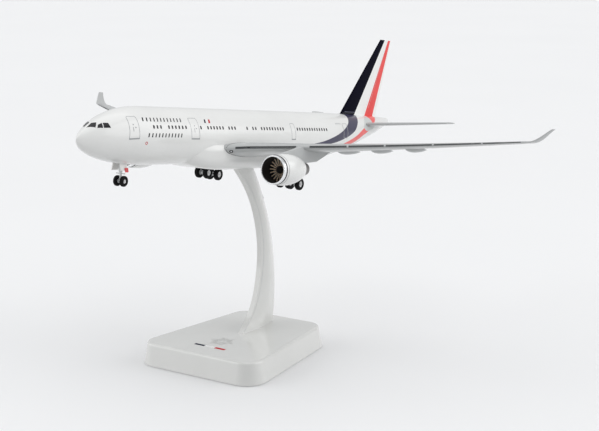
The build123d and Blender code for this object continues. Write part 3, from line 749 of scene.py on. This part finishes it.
def slanted_marks(name):
    """Plain slanted ticks of even size, which spell nothing, and the small flash and ring."""
    skin = side_skin[name]
    piece = Piece()
    for start, end, count, z, high in TICK_ROWS:
        for k in range(count):
            x = start + (end - start) * k / (count - 1)
            piece.patch(skin, rounded(upright(x, z, 0.75, high, 0.28), 0.15, 2))
    piece.build(f"plain_marks_{name}", INK_PRINT, "fuselage")
    small = Piece()
    for k in range(5):
        small.patch(skin, rounded(upright(207.0 + 1.3 * k, 8.5, 0.8, 0.7), 0.12, 2))
    small.build(f"small_marks_{name}", PALE_PRINT, "fuselage")
    for label, x, wide, material in FLASH:
        stripe = Piece()
        stripe.patch(skin, rounded(upright(x, FLASH_Z, wide, FLASH_HIGH, 0.35), 0.1, 2))
        stripe.build(f"flash_{label}_{name}", material, "fuselage")
    ring = Piece()
    ring.stroke(skin, circle(*SOCKET, SOCKET_R, 16), 0.3, loop=True)
    ring.build(f"socket_ring_{name}", RED_PRINT, "fuselage")


# Cockpit panes by x and angle: lower front, upper front, upper rear, lower rear.
PANES = {
    "front_pane": ((6.75, 80.0), (9.9, 84.0), (11.41, 70.5), (9.40, 51.0)),
    "side_pane": ((10.08, 46.0), (11.0, 57.0), (13.0, 57.5), (12.34, 38.6)),
    "rear_pane": ((12.72, 37.7), (13.40, 55.6), (15.49, 48.7), (15.69, 31.7)),
}


def cockpit(name):
    skin = round_skin[name]
    for label, corners in PANES.items():
        low_front, top_front, top_rear, low_rear = corners
        piece = Piece()
        front = [between(low_front, top_front, k / 5) for k in range(6)]
        rear = [between(low_rear, top_rear, k / 5) for k in range(6)]
        piece.ribbon(skin, front, rear, across=7, lift=LIFT * 1.5)
        piece.build(f"cockpit_{label}_{name}", GLAZING, "fuselage")


# Front and rear edges of the tail's bands and of the plate round the tailplane's root, by x and angle,
# from the top down
BAND_STEPS = 64
NAVY_BAND = (((228.4, 90), (228.7, 72), (227.0, 54), (222.0, 31), (212.1, 11.1), (198.5, -2.3),
              (184.0, -10.5), (166.0, -17.5)),
             ((244.0, 90), (242.6, 72), (239.4, 52), (235.3, 30), (228.4, 5.0), (215.5, -9.4),
              (195.0, -17.0), (166.2, -18.2)))
RED_BAND = (((257.5, 90), (256.8, 60), (257.0, 36), (251.0, 20), (241.6, 6.0), (231.5, -13.1),
             (217.0, -25.0), (196.0, -38.0)),
            ((268.6, 90), (266.8, 60), (262.5, 32), (257.5, 14), (252.8, -4.0), (244.4, -17.7),
             (229.0, -38.0), (196.2, -39.0)))
SEAL_STEPS = 33
SEAL = (((252.5, 63), (248.6, 48), (245.2, 28), (243.6, 12), (244.8, 2), (248.0, -6.5)),
        ((254.2, 62.5), (256.8, 44), (257.8, 26), (259.6, 14), (260.0, 3), (256.0, -7)))


def tail_bands(name):
    skin = round_skin[name]
    for label, (front, rear), material in (("navy", NAVY_BAND, NAVY_PAINT), ("red", RED_BAND, RED_PAINT)):
        piece = Piece()
        piece.ribbon(skin, smooth_line(front, BAND_STEPS), smooth_line(rear, BAND_STEPS), across=9)
        piece.build(f"tail_band_{label}_{name}", material, "fuselage")
    seal = Piece()
    front, rear = (smooth_line(edge, SEAL_STEPS) for edge in SEAL)
    seal.ribbon(skin, front, rear, across=9, lift=LIFT * OVER)
    seal.build(f"tailplane_seal_{name}", SEAL_PRINT, "fuselage")


for name in SIDES:
    windows(name)
    doors(name)
    slanted_marks(name)
    cockpit(name)
    tail_bands(name)


# ---------------------------------------------------------------- wing, tailplane and fin lines

LINE_W = 0.2
# Shares of the chord
FLAP_LINE = 0.74
AILERON_LINE = 0.76
SLAT_LINE = 0.13
SPOILER_LINE = 0.62             # the spoilers' front
PANEL_END = 0.97
# Distances out
FLAP_ENDS = (18.0, 101.0)
AILERON_ENDS = (104.0, 140.0)
PANEL_ENDS = (KINK_Y, 101.0, 104.0, 122.0, 140.0)
SPOILER_ENDS = (26.0, KINK_Y, 57.0, 67.0, 77.5, 88.0)
SLATS = ((19.0, 44.6), (50.4, 66.4), (67.2, 82.4), (83.2, 103.0), (103.8, 124.0), (124.8, 141.0))
# Heights of the painted shade strip round the leading edge
SLAT_SHADE_HEIGHTS = (-0.4, 0.75)       # from below to above the leading edge
SLAT_STEP = 1.5


def shade_strip_share(y):
    """How much of its full height the painted shade strip along the slats has at y: it narrows toward the
    tip.
    """
    return 1 - 0.6 * max(0.0, (y - KINK_Y) / (TIP_Y - KINK_Y))


def leading_edge(side):
    """Just ahead of the wing's leading edge, by y and the height over it."""
    def at(y, rise):
        x, z = wing_le(y)
        return air(x + 0.3, side * y, z + rise)
    return at


def wing_lines(name, side):
    """Flap, aileron, slat and spoiler lines, and the panel lines between them."""
    top = Skin(wing_face(side, 1), [f"wing_{name}"], UP, 1.2)
    below = Skin(wing_face(side, -1), [f"wing_{name}"], -UP, 1.2)
    lines = Piece()
    for skin in (top, below):
        flap = [(y, FLAP_LINE) for y in (FLAP_ENDS[0], KINK_Y, FLAP_ENDS[1])]
        lines.stroke(skin, straight_line(flap, 2.0), LINE_W)
        lines.stroke(skin, straight_line([(y, AILERON_LINE) for y in AILERON_ENDS], 2.0), LINE_W)
        for y in PANEL_ENDS:
            lines.stroke(skin, straight_line([(y, 0.745), (y, PANEL_END)], 0.05), LINE_W)
    lines.stroke(top, straight_line([(20, SLAT_LINE), (143, SLAT_LINE)], 2.0), LINE_W)
    spoilers = [(y, SPOILER_LINE) for y in (SPOILER_ENDS[0], SPOILER_ENDS[-1])]
    lines.stroke(top, straight_line(spoilers, 2.0), LINE_W)
    for y in SPOILER_ENDS:
        lines.stroke(top, straight_line([(y, SPOILER_LINE), (y, 0.735)], 0.04), LINE_W)
    lines.build(f"wing_lines_{name}", GREY_PRINT, "wing")


def slat_shade_strip(name, side):
    """Painted shade round the leading edge: a dark strip where the slats' edge lies in shade, broken at each
    slat's end.
    """
    edge = Skin(leading_edge(side), [f"wing_{name}"], Vector((-1, 0, 0)), 3.0)
    low, high = SLAT_SHADE_HEIGHTS
    piece = Piece()
    for start, end in SLATS:
        count = max(4, round((end - start) / SLAT_STEP))
        ys = [start + (end - start) * k / count for k in range(count + 1)]
        foot = [(y, low * shade_strip_share(y)) for y in ys]
        head = [(y, high * shade_strip_share(y)) for y in ys]
        piece.ribbon(edge, foot, head, across=5)
    piece.build(f"slat_shade_strip_{name}", SLAT_PAINTED_SHADE, "wing")


SEAM_Y = 15.5
SEAM_W = 0.3


def wing_root_seam(name, side):
    """The thin dark joint between the wing's root and the belly, round the leading edge."""
    seam = Piece()
    for above in (1, -1):
        skin = Skin(wing_face(side, above), [f"wing_{name}"], UP * above, 1.2)
        seam.stroke(skin, straight_line([(SEAM_Y, 0.002), (SEAM_Y, 0.02), (SEAM_Y, 0.3)], 0.02), SEAM_W)
    seam.build(f"wing_root_seam_{name}", SEAM_PRINT, "wing")


ELEVATOR_LINE = 0.70
ELEVATOR_ENDS = (13.0, 46.0)
RUDDER_LINE = 0.70
RUDDER_ENDS = (18.0, 57.0)


def tail_lines(name, side):
    """Elevator and rudder lines, and the dark and light lines along the fin's foot."""
    lines = Piece()
    for above in (1, -1):
        skin = Skin(tailplane_face(side, above), [f"tailplane_{name}"], UP * above, 1.0)
        lines.stroke(skin, straight_line([(y, ELEVATOR_LINE) for y in ELEVATOR_ENDS], 1.5), LINE_W)
        end = ELEVATOR_ENDS[1]
        lines.stroke(skin, straight_line([(end, ELEVATOR_LINE + 0.005), (end, PANEL_END)], 0.05), LINE_W)
    lines.build(f"tailplane_lines_{name}", GREY_PRINT, "tailplane")
    rudder = Piece()
    skin = Skin(fin_face(side), ["fin"], OUT[name], 1.5)
    rudder.stroke(skin, straight_line([(z, RUDDER_LINE) for z in RUDDER_ENDS], 1.5), 0.16)
    rudder.build(f"rudder_line_{name}", PALE_PRINT, "fin")
    foot = Piece()
    foot.stroke(skin, straight_line([(FIN_FOOT, 0.03), (FIN_FOOT, 0.335)], 0.03), 0.5)
    foot.build(f"fin_foot_dark_{name}", INK_PRINT, "fin")
    light = Piece()
    light.stroke(skin, straight_line([(FIN_FOOT + 0.75, 0.06), (FIN_FOOT + 0.75, 0.325)], 0.03), 0.3)
    light.build(f"fin_foot_light_{name}", SOFT_LINE, "fin")


LAMP = (17.5, -6.5)             # distance out and height of the landing lamps


def landing_lamp(name, side):
    """Dark lamp window in the wing root's leading edge, with its lens."""
    def at(y, z):
        x, _ = wing_le(y)
        return air(x + 0.4, side * y, z)

    skin = Skin(at, [f"wing_{name}"], Vector((-1, 0, 0)), 5.0)
    window = Piece()
    window.patch(skin, rounded(upright(LAMP[0], LAMP[1], 1.5, 1.3), 0.5))
    window.build(f"landing_lamp_window_{name}", GLAZING, "wing")
    lens = Piece()
    lens.patch(skin, rounded(upright(LAMP[0], LAMP[1], 0.6, 0.5), 0.24), lift=LIFT * 2.2)
    lens.build(f"landing_lamp_lens_{name}", LENS, "wing")


for name, side in SIDES.items():
    wing_lines(name, side)
    slat_shade_strip(name, side)
    wing_root_seam(name, side)
    tail_lines(name, side)
    landing_lamp(name, side)


# ---------------------------------------------------------------- engines

ENGINE_Y = 46.85
ENGINE_Z = -13.0
FAN_X = 98.4
# Thin rings of the intake's black lining: x where each starts, width and radius
LINERS = ((92.2, 1.7, 6.44), (93.9, 3.1, 6.42), (97.0, 5.2, 6.42))


def on_engine(outlines, name, side, label, material, slot, body="aircraft"):
    """A lathed piece about an engine's centre line; outlines are (aircraft x, radius)."""
    piece = Piece()
    for outline in outlines:
        piece.lathe(outline, air(0, side * ENGINE_Y, ENGINE_Z), AFT, UP, 96)
    piece.build(f"{label}_{name}", material, slot, body, sharp=40)


def ring_on(x, wide, radius, slope=0.0, high=0.04):
    """Closed outline of a thin ring, high to either side of a surface of that radius."""
    end = radius + slope * wide
    return [(x, radius - high), (x + wide, end - high), (x + wide, end + high), (x, radius + high)]


def spinner_outline():
    """The spinner's black cap, closed inside the hub: (x, radius) from its point aft."""
    steps = ((-3.3, 0.0), (-2.2, 0.95), (-1.05, 1.66), (-0.05, 1.97), (1.35, 1.97), (1.35, 1.2), (-1.2, 0.9))
    return [(FAN_X + x, radius) for x, radius in steps]


for name, side in SIDES.items():
    lining = [ring_on(x, wide, radius, high=0.03) for x, wide, radius in LINERS]
    on_engine(lining, name, side, "intake_liner", MATERIALS["core"], "core")
    on_engine([ring_on(93.64, 0.7, 7.26, 0.15)], name, side, "cowl_black_ring", INK_PRINT, "cowl")
    on_engine([ring_on(95.6, 0.25, 7.53, 0.13)], name, side, "cowl_grey_ring", GREY_PRINT, "cowl")
    on_engine([spinner_outline()], name, side, "spinner_cap", MATERIALS["core"], "fan", f"fan_{name}")


# ---------------------------------------------------------------- prints on the base

base_skin = Skin(base_top, ["stand_base_shell"], UP, 9.0)
BAR_X = -28.0
BAR_END = 9.9                   # the bar's half length
BAR_W = 1.9
BAR = (("red", RED_PRINT), ("white", WHITE_PRINT), ("blue", BLUE_PRINT))
EMBLEM = (-17.0, 0.0)
LEAVES = 12
LEAF_REACH = (5.6, 7.2)         # how far out even and odd leaves reach
# A leaf's outline: share of its reach, half width
LEAF = ((0.38, 0.0), (0.55, 0.75), (0.75, 0.9), (1.0, 0.0), (0.75, -0.9), (0.55, -0.75))
EMBLEM_RING = 1.6


def base_bar():
    """The three-coloured bar across the base."""
    third = 2 * BAR_END / 3
    for k, (label, material) in enumerate(BAR):
        start = -BAR_END + third * k
        piece = Piece()
        piece.stroke(base_skin, straight_line([(BAR_X, start), (BAR_X, start + third)], 0.8), BAR_W)
        piece.build(f"base_bar_{label}", material, "stand", "stand")


def base_emblem():
    """A plain rosette: leaves about a ring."""
    emblem = Piece()
    x0, y0 = EMBLEM
    for k in range(LEAVES):
        a = 2 * math.pi * k / LEAVES
        out = Vector((math.cos(a), math.sin(a)))
        side = Vector((-out.y, out.x))
        leaf = []
        for share, wide in LEAF:
            spot = out * (LEAF_REACH[k % 2] * share) + side * wide
            leaf.append((x0 + spot.x, y0 + spot.y))
        emblem.patch(base_skin, leaf)
    emblem.stroke(base_skin, circle(x0, y0, EMBLEM_RING, 24), 0.5, loop=True)
    emblem.build("base_emblem", EMBLEM_PRINT, "stand", "stand")


# Row x and z of the arm's front edge, drawn in a little
ARM_SEAM = ((1.6, 13.2), (11.0, 22.6), (16.3, 33.2), (19.0, 44.1), (20.1, 55.3), (18.9, 66.8), (15.5, 78.5),
            (9.3, 90.6), (3.4, 98.6))
ARM_SEAM_Y = 1.9                # near the arm's side there; the ray finds the surface itself


def arm_seam(name, side):
    """Joint line behind the arm's rounded front edge, on each of its sides."""
    def at(x, z):
        return Vector((x, side * ARM_SEAM_Y, z)) * MM

    skin = Skin(at, [f"stand_arm_{name}_half"], OUT[name], 2.5)
    seam = Piece()
    seam.stroke(skin, smooth_line(ARM_SEAM, 60), 0.16)
    seam.build(f"arm_seam_{name}", PALE_PRINT, "stand", "stand")


base_bar()
base_emblem()
for name, side in SIDES.items():
    arm_seam(name, side)


# ---------------------------------------------------------------- floor, light and camera

FLOOR_HALF = 30.0               # metres
FLOOR_STEPS = 24


def floor():
    """A plain pale floor, wide enough to fill the picture."""
    half = FLOOR_HALF
    steps = FLOOR_STEPS
    mesh = bpy.data.meshes.new("floor")
    corners = []
    faces = []
    for i in range(steps + 1):
        for k in range(steps + 1):
            corners.append((-half + 2 * half * i / steps, -half + 2 * half * k / steps, 0.0))
    for i in range(steps):
        for k in range(steps):
            a = i * (steps + 1) + k
            faces.append((a, a + steps + 1, a + steps + 2, a + 1))
    mesh.from_pydata(corners, [], faces)
    pale = finish("studio_floor", (0.86, 0.86, 0.865), 0.6, cloud=300, mottle=0.006, relief=0.0)
    mesh.materials.append(pale)
    piece = bpy.data.objects.new("floor", mesh)
    bpy.context.scene.collection.objects.link(piece)
    piece.visible_diffuse = False       # the model's undersides are lit as if it were not there


def sun(name, towards, strength, softness):
    """Even light from a wide, soft source; towards points from the object to the light."""
    lamp = bpy.data.lights.new(name, "SUN")
    lamp.energy = strength
    lamp.angle = math.radians(softness)
    holder = bpy.data.objects.new(name, lamp)
    holder.rotation_mode = "QUATERNION"
    holder.rotation_quaternion = towards.to_track_quat("Z", "Y")
    bpy.context.scene.collection.objects.link(holder)


CAMERA_AT = Vector((-556.95, -402.6, 222.9)) * MM
AZIMUTH = math.radians(-56.84)
ELEVATION = math.radians(11.87)
FOCAL = 78.15
SENSOR = 36.0


def camera():
    """Make the camera, and give the direction that is to the right in its picture."""
    back = Vector((math.sin(AZIMUTH) * math.cos(ELEVATION), -math.cos(AZIMUTH) * math.cos(ELEVATION),
                   math.sin(ELEVATION)))
    right = Vector((math.cos(AZIMUTH), math.sin(AZIMUTH), 0.0))
    up = back.cross(right)
    data = bpy.data.cameras.new("camera")
    data.lens = FOCAL
    data.sensor_width = SENSOR
    data.clip_start = 0.02
    data.clip_end = 100.0
    holder = bpy.data.objects.new("camera", data)
    turn = Matrix((right, up, back)).transposed().to_4x4()
    holder.matrix_world = Matrix.Translation(CAMERA_AT) @ turn
    bpy.context.scene.collection.objects.link(holder)
    bpy.context.scene.camera = holder
    return right


def world(strength):
    made = bpy.data.worlds.new("studio")
    made.use_nodes = True
    backdrop = made.node_tree.nodes["Background"]
    backdrop.inputs["Color"].default_value = (0.97, 0.985, 1.0, 1.0)
    backdrop.inputs["Strength"].default_value = strength
    bpy.context.scene.world = made


floor()
camera_right = camera()
world(0.62)
sun("overhead", Vector((0.1, 0.1, 1.0)), 0.72, 70)
sun("right_box", camera_right * 0.85 + UP * 0.35, 1.1, 60)
sun("left_box", -camera_right * 0.85 + UP * 0.25, 1.1, 60)
bpy.context.scene.view_settings.view_transform = "Standard"
